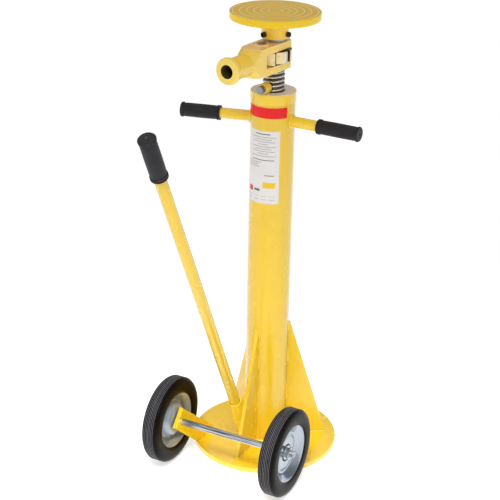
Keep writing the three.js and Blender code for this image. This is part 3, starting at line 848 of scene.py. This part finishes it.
def grip_profile(radius, bore, low, high):
    """A rubber grip along Z: raised rings at both ends, slim waists beside them, a dimpled closed end."""
    raised = radius + 1.4
    band = 7
    waist = radius - 0.7
    outside = [
        (bore, low), (raised - 0.8, low), (raised, low + 1.0), (raised, low + 2.6), (waist + 0.6, low + 3.4),
        (waist + 0.6, low + 4.2), (raised, low + 5.0), (raised, low + 7.4), (waist, low + 8.6),
        (radius, low + band + 7), (radius + 0.3, (low + high) / 2), (radius, high - band - 5),
        (waist, high - band - 1), (raised - 0.2, high - band + 1), (raised, high - 1.8), (raised - 1.6, high),
        (4.5, high), (2.2, high - 1.4), (0, high - 1.6), (0, high - 3), (bore, high - 3),
    ]
    return rounded(outside[:-2], 0.9, steps=3) + outside[-2:]


def grip(name, profile, place, body, node):
    cut = next(i for i, (r, _) in enumerate(profile) if r < 1e-6)
    outer = profile[:cut + 1]
    inner = profile[cut + 1:] + [profile[0]]
    shell = joined(name, [lathe("outer", outer, 64, place=place), lathe("inner", inner, 64, place=place)])
    clean = bmesh.new()
    clean.from_mesh(shell.data)
    bmesh.ops.remove_doubles(clean, verts=clean.verts, dist=1e-6)
    bmesh.ops.recalc_face_normals(clean, faces=clean.faces)
    clean.to_mesh(shell.data)
    clean.free()
    return finish_piece(shell, "grip_rubber", body, "grip_rubber", node)


def handle_grip(side):
    place = radial(HANDLE_AZIMUTHS[side], HANDLE_Z)
    profile = grip_profile(GRIP_R, HANDLE_R + 0.3, GRIP_STARTS[side], HANDLE_REACHES[side] + 3.3)
    return grip(f"handle_grip_{side}_look", profile, place, "stand", f"handle_grip_{side}")


# ---- stickers on the column ----
def patch(name, azimuths, heights, radius, depth):
    """A thin sheet wrapped round the column between two azimuths and two heights."""
    steps = max(2, round(abs(azimuths[1] - azimuths[0]) / 3))
    points = []
    for r in (radius, radius + depth):
        for z in heights:
            for k in range(steps + 1):
                a = math.radians(azimuths[0] + (azimuths[1] - azimuths[0]) * k / steps)
                points.append((r * math.cos(a), r * math.sin(a), z))
    row = steps + 1
    faces = []
    for k in range(steps):
        inner_low, inner_high, outer_low, outer_high = (k + row * i for i in range(4))
        faces += [
            (inner_low, inner_high, inner_high + 1, inner_low + 1),
            (outer_low, outer_low + 1, outer_high + 1, outer_high),
            (inner_low, inner_low + 1, outer_low + 1, outer_low),
            (inner_high, outer_high, outer_high + 1, inner_high + 1),
        ]
    for k in (0, steps):
        faces.append((k, k + 2 * row, k + 3 * row, k + row))
    made = mesh_object(name, points, faces)
    face_out(made.data)
    made.data.set_sharp_from_angle(angle=SMOOTH_BELOW)
    return made


BAND_HEIGHTS = (851, 876)
BAND_AZIMUTHS = (-160, -25)
LABEL_HEIGHTS = (646, 821)
LABEL_AZIMUTHS = (-141, -43)
STICKER_R = COLUMN_R + 0.05
STICKER_T = 0.25
INK_T = 0.06


def reflective_band():
    piece = patch("reflective_band", BAND_AZIMUTHS, BAND_HEIGHTS, STICKER_R, STICKER_T)
    return finish_piece(piece, "tape", "stand", None)


def column_label():
    piece = patch("column_label", LABEL_AZIMUTHS, LABEL_HEIGHTS, STICKER_R, STICKER_T)
    return finish_piece(piece, "label", "stand", None)


def label_bar(left, right, low, high):
    """A printed bar: left and right are shares of the label's width, low and high of its height."""
    wide = LABEL_AZIMUTHS[1] - LABEL_AZIMUTHS[0]
    tall = LABEL_HEIGHTS[1] - LABEL_HEIGHTS[0]
    azimuths = (LABEL_AZIMUTHS[0] + wide * left, LABEL_AZIMUTHS[0] + wide * right)
    heights = (LABEL_HEIGHTS[0] + tall * low, LABEL_HEIGHTS[0] + tall * high)
    return patch("bar", azimuths, heights, STICKER_R + STICKER_T, INK_T)


def label_print():
    """Generic ruled lines and plain boxes: no words and no pictures."""
    margin = 0.08
    dark = [label_bar(0.32, 0.74, 0.952, 0.964), label_bar(0.22, 0.86, 0.60, 0.610)]
    grey = []
    rows = 9
    for i in range(rows):
        high = 0.92 - i * 0.032
        half = (0.36, 0.24, 0.33, 0.15)[i % 4]
        grey.append(label_bar(0.54 - half, 0.54 + half, high - 0.008, high))
    for i in range(3):
        high = 0.575 - i * 0.03
        grey.append(label_bar(margin, (0.5, 0.42, 0.46)[i], high - 0.009, high))
    for i in range(4):
        left = margin + 0.22 * i
        grey.append(label_bar(left, left + 0.15, 0.10, 0.105))
        grey.append(label_bar(left, left + 0.15, 0.055, 0.062))
    yellow = [label_bar(0.56, 0.90, 0.22, 0.30)]
    red = [label_bar(margin, 0.24, 0.15, 0.22)]
    boxes = [label_bar(0.30, 0.48, 0.17, 0.20), label_bar(0.6, 0.86, 0.39, 0.40)]
    for name, look, bars in (
        ("label_print_dark", "ink_dark", dark + boxes), ("label_print_grey", "ink_grey", grey),
        ("label_print_yellow", "ink_yellow", yellow), ("label_print_red", "ink_red", red),
    ):
        finish_piece(joined(name, bars), look, "stand", None)


# ---- screw ----
THREAD_DEPTH = 3.8


def lift_screw():
    """Rounded right-hand thread up to the housing, then the plain journal and spigot."""
    columns = 96
    per_turn = 20
    step = THREAD_LEAD / per_turn
    low = SCREW_LOW + 2
    rows = int((THREAD_TOP - low) / step)
    points = []
    for i in range(rows + 1):
        z = low + step * i
        end = min(1.0, (z - low) / 4)
        for k in range(columns):
            turn = k / columns
            phase = (z / THREAD_LEAD - turn) % 1.0
            dip = (0.5 - 0.5 * math.cos(2 * math.pi * phase)) ** 1.2
            r = SCREW_R - THREAD_DEPTH * (1 - (1 - dip) * end)
            a = 2 * math.pi * turn
            points.append((r * math.cos(a), r * math.sin(a), z))
    faces = []
    for i in range(rows):
        for k in range(columns):
            n = (k + 1) % columns
            a = i * columns
            faces.append((a + k, a + n, a + columns + n, a + columns + k))
    faces.append(tuple(range(columns))[::-1])
    faces.append(tuple(range(rows * columns, (rows + 1) * columns)))
    thread = mesh_object("thread", points, faces)
    shoulder = HOUSING_TOP - 0.5
    journal = lathe("journal", rounded([
        (0, THREAD_TOP - 3), (JOURNAL_R, THREAD_TOP - 3), (JOURNAL_R, shoulder), (SPIGOT_R, shoulder),
        (SPIGOT_R, SCREW_TOP), (0, SCREW_TOP),
    ], 0.6), 64)
    piece = joined("lift_screw_look", [thread, journal])
    return finish_piece(piece, "screw_steel", "screw", "machined_steel", "lift_screw")


def parting_line():
    """The raised line that the mould leaves along the handle socket."""
    angle = math.radians(-14)
    points = [at_azimuth(HOUSING_AZIMUTH, reach, (STUB_R + 0.1) * math.cos(angle),
                         HOUSING_MID + (STUB_R + 0.1) * math.sin(angle)) for reach in range(119, 164, 3)]
    piece = swept("parting_line", points, [0.8] * len(points))
    return finish_piece(piece, "cast_paint", "housing", "cast_paint")


# ---- load plate ----
RING_DEPTH = 0.9
RING_HALF_WIDTH = 1.2
RING_CENTRE = 7


def load_plate():
    """Round plate with a small ring at its centre and evenly spaced rings cut round it."""
    radii = [RING_FIRST + RING_PITCH * i for i in range(RING_COUNT, 0, -1)] + [RING_CENTRE]
    grooves = []
    floor = PLATE_HIGH - RING_DEPTH
    for r in radii:
        grooves += [(r + RING_HALF_WIDTH, PLATE_HIGH), (r, floor), (r - RING_HALF_WIDTH, PLATE_HIGH)]
    profile = rounded([
        (0, PLATE_LOW), (PLATE_R, PLATE_LOW), (PLATE_R, PLATE_HIGH), *grooves, (0, PLATE_HIGH),
    ], 1.2, steps=3)
    piece = lathe("load_plate_look", profile, 160)
    return finish_piece(piece, "plate_paint", "plate", "yellow_paint", "load_plate")


# ---- wheels ----
RIM_R = 68
RIM_HALF = 18.2
RIM_T = 1.8
RIB_PITCH = 4.0
RIB_DEPTH = 0.9
RIB_HALF = 0.4
RIBS_EACH_SIDE = 3


def tyre_profile():
    """Half of the tyre from rim to tread centre, mirrored: bulged wall, round shoulder, fine ribs."""
    wall = [
        (53.4, 4.6), (60, 10.4), (RIM_R + 0.5, 16.4), (RIM_R + 0.7, RIM_HALF - 0.4), (70.5, 19.3), (76, 20.6),
        (84, TYRE_HALF), (91, 21.0), (96.5, 19.9), (100.4, 18.2), (102.8, 16.0), (103.2, 15.2), (102.7, 14.8),
        (102.9, 14.3), (TYRE_R - RIB_DEPTH, 13.7),
    ]
    ribs = []
    for i in range(RIBS_EACH_SIDE, -1, -1):
        centre = i * RIB_PITCH
        half = RIB_HALF if i else 1.6 * RIB_HALF
        ribs += [(TYRE_R - RIB_DEPTH, centre + half + 0.5), (TYRE_R, centre + half), (TYRE_R, centre - half),
                 (TYRE_R - RIB_DEPTH, centre - half - 0.5)]
    half = wall + ribs[:-2]
    mirrored = [(r, -l) for r, l in reversed(half)]
    return half + mirrored


def pressed_profile(points, side):
    return points + [(r, l + side * RIM_T) for r, l in reversed(points)]


def wheel_place(sign):
    return turn_to((sign, 0, 0), (sign * WHEEL_X, AXLE_Y, AXLE_Z))


def wheel(side, sign):
    place = wheel_place(sign)
    body = f"wheel_{side}"
    tyre = lathe(f"tyre_{side}_look", rounded(tyre_profile(), 0.35, True, 2), 128, True, place)
    finish_piece(tyre, "tyre_rubber", body, "tyre_rubber", f"tyre_{side}")
    lip = RIM_HALF - RIM_T
    outer = rounded([
        (21, 3.4), (30, 3.4), (38, 3.4), (46, 0.6), (50, 2.0), (53, 5.2), (60, 10.6), (RIM_R, lip),
    ], 3, steps=4)
    inner = rounded([
        (12.6, -18.8), (19, -18.6), (24, -18.0), (31, -16.2), (37, -13.4), (42, -6.5), (45, -0.6), (47, -0.2),
        (50, -1.8), (53, -5.2), (60, -10.6), (RIM_R, -lip),
    ], 2.2, steps=4)
    for part, half, away, look in (("outer", outer, 1, "rim_zinc"), ("inner", inner, -1, "dish_zinc")):
        section = rounded(pressed_profile(half, away), 0.6, True, 2)
        disc = lathe(f"rim_{part}_{side}_look", section, 96, True, place)
        finish_piece(disc, look, body, "zinc_plate", f"rim_{part}_{side}")
    dressed(f"hub_tube_{side}", "zinc_plate", body, "zinc_plate", 0.5)
    dressed(f"hub_bush_{side}", "nylon", body, "nylon", 0.3)


def axle():
    low = span("axle", 0)
    profile = rounded([(0, low[0]), (AXLE_R, low[0]), (AXLE_R, low[1]), (0, low[1])], 1.4)
    piece = lathe("axle_look", profile, 64, place=turn_to((1, 0, 0), (0, AXLE_Y, AXLE_Z)))
    return finish_piece(piece, "drawn_bar", "stand", "zinc_plate", "axle")


def cotter_pin(side):
    """A split pin of round wire: an eye above the axle and two legs bent apart below it."""
    x = sum(span(f"cotter_pin_{side}", 0)) / 2
    legs = []
    for leg in (-1, 1):
        path = [(x, AXLE_Y + leg * 0.9, AXLE_Z + 8.2 - k) for k in range(0, 20)]
        bent = [(x, AXLE_Y + leg * (0.9 + 0.42 * k), AXLE_Z - 11.3 - 0.72 * k) for k in range(1, 3)]
        legs.append(swept("leg", path + bent, [0.9] * (len(path) + len(bent)), 10))
    eye = [(x, AXLE_Y + 3.6 * math.sin(a), AXLE_Z + 12.6 - 3.9 * math.cos(a))
           for a in (2 * math.pi * k / 28 for k in range(28))]
    legs.append(swept("eye", eye, [1.1] * 28, 10, True))
    return finish_piece(joined(f"cotter_pin_{side}_look", legs), "zinc_plate", "stand", "zinc_plate",
                        f"cotter_pin_{side}")


# ---- lever ----
def lever():
    place = turn_to(LEVER_DIRECTION, LEVER_FOOT)
    profile = ring_profile(LEVER_R, LEVER_R - 2.9, LEVER_START, LEVER_END, 0.5)
    tube = lathe("lever_tube_look", profile, 64, True, place)
    finish_piece(tube, "shaded_body_paint", "lever", "yellow_paint", "lever_tube")
    grip("lever_grip_look", grip_profile(LEVER_GRIP_R, LEVER_R + 0.3, LEVER_GRIP_START, LEVER_END + 3.3),
         place, "lever", "lever_grip")


# ---- light, floor and camera ----
CAMERA_PLACE = (1.302, -2.6114, 1.7821)
CAMERA_AZIMUTH = 27.4        # turned from looking along +Y
CAMERA_TILT = -23.58
CAMERA_ROLL = 1.135
CAMERA_LENS = 96.58
SENSOR = 36


def camera():
    azimuth = math.radians(CAMERA_AZIMUTH)
    tilt = math.radians(CAMERA_TILT)
    level = math.cos(tilt)
    forward = Vector((-math.sin(azimuth) * level, math.cos(azimuth) * level, math.sin(tilt)))
    right = forward.cross(Vector((0, 0, 1))).normalized()
    up = right.cross(forward)
    roll = math.radians(CAMERA_ROLL)
    right, up = right * math.cos(roll) + up * math.sin(roll), up * math.cos(roll) - right * math.sin(roll)
    data = bpy.data.cameras.new("camera")
    data.lens = CAMERA_LENS
    data.sensor_width = SENSOR
    data.clip_end = 50
    made = bpy.data.objects.new("camera", data)
    made.matrix_world = Matrix.Translation(CAMERA_PLACE) @ Matrix((right, up, -forward)).transposed().to_4x4()
    bpy.context.scene.collection.objects.link(made)
    bpy.context.scene.camera = made


def soft_light(name, place, aim, size, power, spread=180):
    data = bpy.data.lights.new(name, "AREA")
    data.shape = "RECTANGLE"
    data.size, data.size_y = size
    data.energy = power
    data.spread = math.radians(spread)
    made = bpy.data.objects.new(name, data)
    direction = Vector(aim) - Vector(place)
    made.matrix_world = Matrix.Translation(place) @ direction.to_track_quat("-Z", "Y").to_matrix().to_4x4()
    bpy.context.scene.collection.objects.link(made)


def sky(world):
    """Soft white surroundings with a grey wall behind the object, which glossy faces pick up."""
    tree = world.node_tree
    split = tree.nodes.new("ShaderNodeSeparateXYZ")
    tree.links.new(tree.nodes.new("ShaderNodeTexCoord").outputs["Generated"], split.inputs[0])

    def smooth(axis, start, end, low, high):
        made = tree.nodes.new("ShaderNodeMapRange")
        made.interpolation_type = "SMOOTHSTEP"
        for socket, value in (("From Min", start), ("From Max", end), ("To Min", low), ("To Max", high)):
            made.inputs[socket].default_value = value
        tree.links.new(split.outputs[axis], made.inputs["Value"])
        return made.outputs["Result"]

    wall = tree.nodes.new("ShaderNodeMath")
    wall.operation = "MULTIPLY"
    tree.links.new(smooth("Y", 0.0, 0.5, 0.0, 1.0), wall.inputs[0])
    tree.links.new(smooth("Z", 0.4, 0.75, 1.0, 0.0), wall.inputs[1])
    strength = tree.nodes.new("ShaderNodeMapRange")
    strength.inputs["To Min"].default_value = 0.7
    strength.inputs["To Max"].default_value = 0.3
    tree.links.new(wall.outputs[0], strength.inputs["Value"])
    tree.links.new(strength.outputs["Result"], tree.nodes["Background"].inputs["Strength"])
    tree.nodes["Background"].inputs["Color"].default_value = (1, 1, 1, 1)


def studio():
    scene = bpy.context.scene
    scene.view_settings.view_transform = "Standard"
    world = bpy.data.worlds.new("studio")
    world.use_nodes = True
    sky(world)
    scene.world = world
    soft_light("left", (-1.9, -2.8, 1.9), (0, 0, 0.7), (0.6, 1.8), 0.8)
    soft_light("right", (2.9, -1.6, 1.5), (0, 0, 0.6), (0.6, 2.0), 2.6)
    soft_light("low", (0.5, -1.6, 2.2), (0, -0.15, 0.0), (0.9, 0.7), 1.8, 26)
    floor = mesh_object("floor", [(-9e3, -9e3, 0), (9e3, -9e3, 0), (9e3, 9e3, 0), (-9e3, 9e3, 0)],
                        [(0, 1, 2, 3)], False)
    look = Look("studio floor", "#E6E6E6", 0.9, Specular_IOR_Level=0.1, Emission_Strength=0.52)
    look.set("Emission Color", (1, 1, 1, 1))
    look.bump(look.noise(30, 2), 0.0002, 0.1)
    look.material.cycles.emission_sampling = "NONE"
    floor.data.materials.append(look.material)


# ---- assembly ----
camera()
studio()

base_plate()
column_tube()
top_cap()
for gusset_side in GUSSET_AZIMUTHS:
    dressed(f"gusset_{gusset_side}", "shaded_body_paint", "stand", "yellow_paint", 0.8)
dressed("lock_boss", "yellow_paint", "stand", "yellow_paint", 1.0)
dressed("lever_socket", "yellow_paint", "stand", "yellow_paint", 0.7)
dressed("screw_nut", "bronze", "stand", "bronze", 0.5)
for hand in HANDLE_AZIMUTHS:
    carry_handle(hand)
    handle_grip(hand)
reflective_band()
column_label()
label_print()

gusset_welds()
column_weld()
handle_welds()
bracket_welds()
socket_welds()
boss_welds()

for hand, sign in (("left", -1), ("right", 1)):
    dressed(f"wheel_bracket_{hand}", "yellow_paint", "stand", "yellow_paint", 0.8)
    for washer in ("inner", "outer"):
        dressed(f"axle_washer_{washer}_{hand}", "zinc_plate", "stand", "zinc_plate", 0.4)
    cotter_pin(hand)
    wheel(hand, sign)
axle()
lever()

dressed("lock_bolt", "dull_zinc", "lock", "zinc_plate", 0.7)
dressed("lock_washer", "dull_zinc", "lock", "zinc_plate", 0.4)

lift_screw()
dressed("ratchet_wheel", "wheel_paint", "screw", "cast_paint", 0.7)
for node in ("wheel_key", "stop_washer", "stop_bolt"):
    dressed(node, "machined_steel", "screw", "machined_steel", 0.5)
cast("ratchet_housing", "cast_paint", "housing", "cast_paint", 0.7, 2)
parting_line()
dressed("pawl", "overspray", "pawl", "machined_steel", 0.7)
for node in ("pawl_pin", "pawl_pin_clip"):
    dressed(node, "dull_zinc", "housing", "zinc_plate", 0.4)
for node in ("pawl_plunger", "pawl_spring"):
    dressed(node, "machined_steel", "housing", "machined_steel", 0.3)

dressed("thrust_washer", "dull_zinc", "carrier", "zinc_plate", 0.5)
load_plate()
collar_weld()
dressed("plate_collar", "yellow_paint", "plate", "yellow_paint", 0.7)
for number in (1, 2, 3):
    dressed(f"collar_screw_{number}", "black_oxide", "plate", "black_oxide", 0.4)
